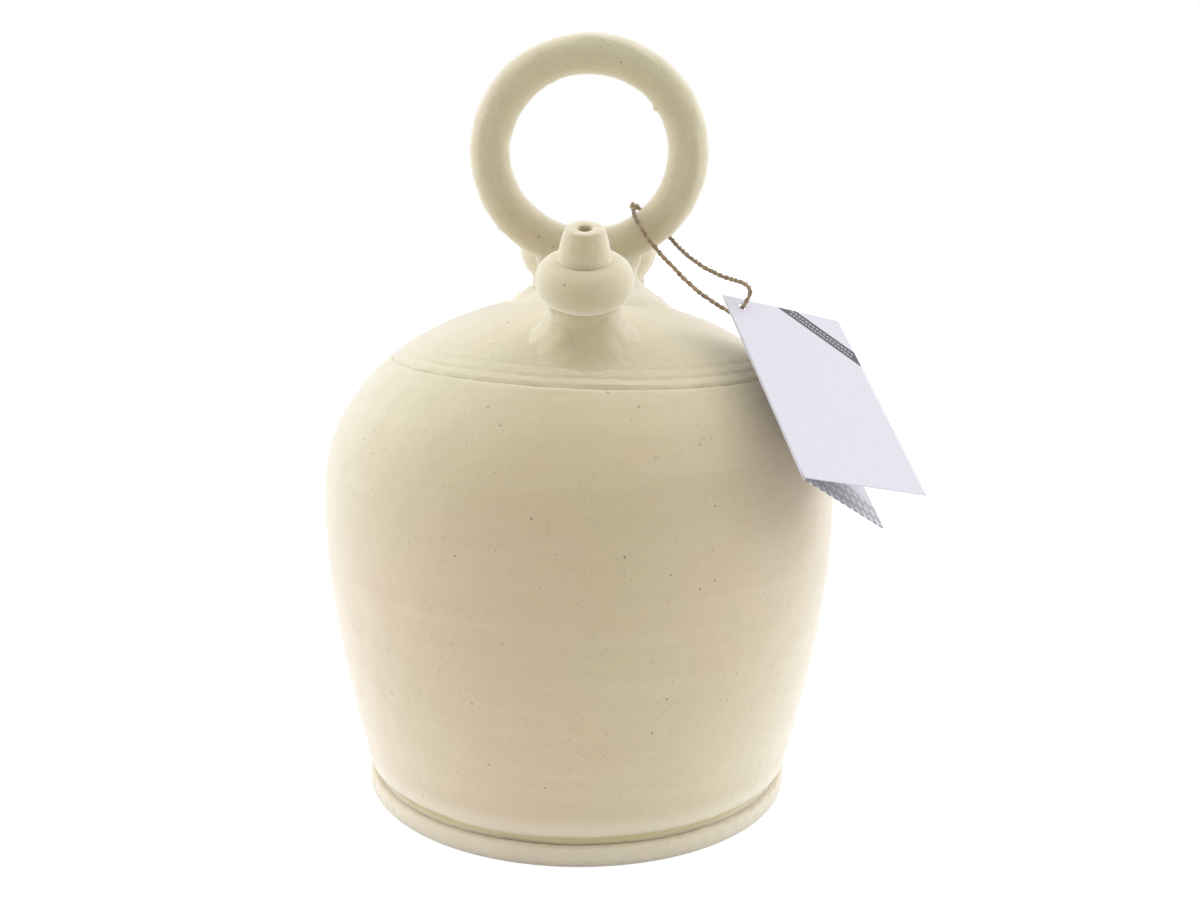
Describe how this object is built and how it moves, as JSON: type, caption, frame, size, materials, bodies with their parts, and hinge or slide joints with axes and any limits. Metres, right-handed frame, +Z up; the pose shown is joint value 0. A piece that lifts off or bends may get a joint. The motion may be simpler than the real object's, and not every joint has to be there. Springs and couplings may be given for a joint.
{
  "type": "water jug",
  "caption": "Bell-shaped unglazed clay water jug on a foot, with an upright ring handle, a bulbed drinking spout, a flared filling mouth and a folded card hung on twine.",
  "frame": {"origin": "on the floor under the body's axis, at the middle of the foot's underside", "axes": "+Z up; -Y towards the drinking spout, which the picture faces; +X to the picture's right"},
  "size_m": [0.2206, 0.2002, 0.2963],
  "materials": {
    "clay": "matt unglazed",
    "card": "smooth matt print",
    "twine": "coarse natural fibre"
  },
  "bodies": {
    "jug": {"foot_disc": "clay", "body_wall": "clay", "shoulder_cap": "clay", "ring_handle": "clay", "filler_mouth": "clay", "handle_pad": "clay", "mouth_lute": "clay", "spout_neck": "clay", "spout_bulb": "clay", "spout_nozzle": "clay", "spout_lute": "clay"},
    "twine": {"twine_loop": "twine", "twine_knot": "twine"},
    "card": {"card_front": "card"},
    "back_leaf": {"card_back": "card"}
  },
  "joints": [
    {"name": "twine_swing", "type": "hinge", "parent": "jug", "child": "twine", "pos_m": [0.02693, 0, 0.22395], "axis": [-0.765, 0, -0.644], "range_deg": [-3, 90]},
    {"name": "card_swivel", "type": "hinge", "parent": "twine", "child": "card", "pos_m": [0.0591, -0.0365, 0.1969], "axis": [0.4628, -0.4886, 0.7396], "range_deg": [-8, 45]},
    {"name": "card_leaf", "type": "hinge", "parent": "card", "child": "back_leaf", "pos_m": [0.05323, -0.0394, 0.19791], "axis": [-0.2505, 0.7283, 0.6379], "range_deg": [-20, 2]}
  ]
}
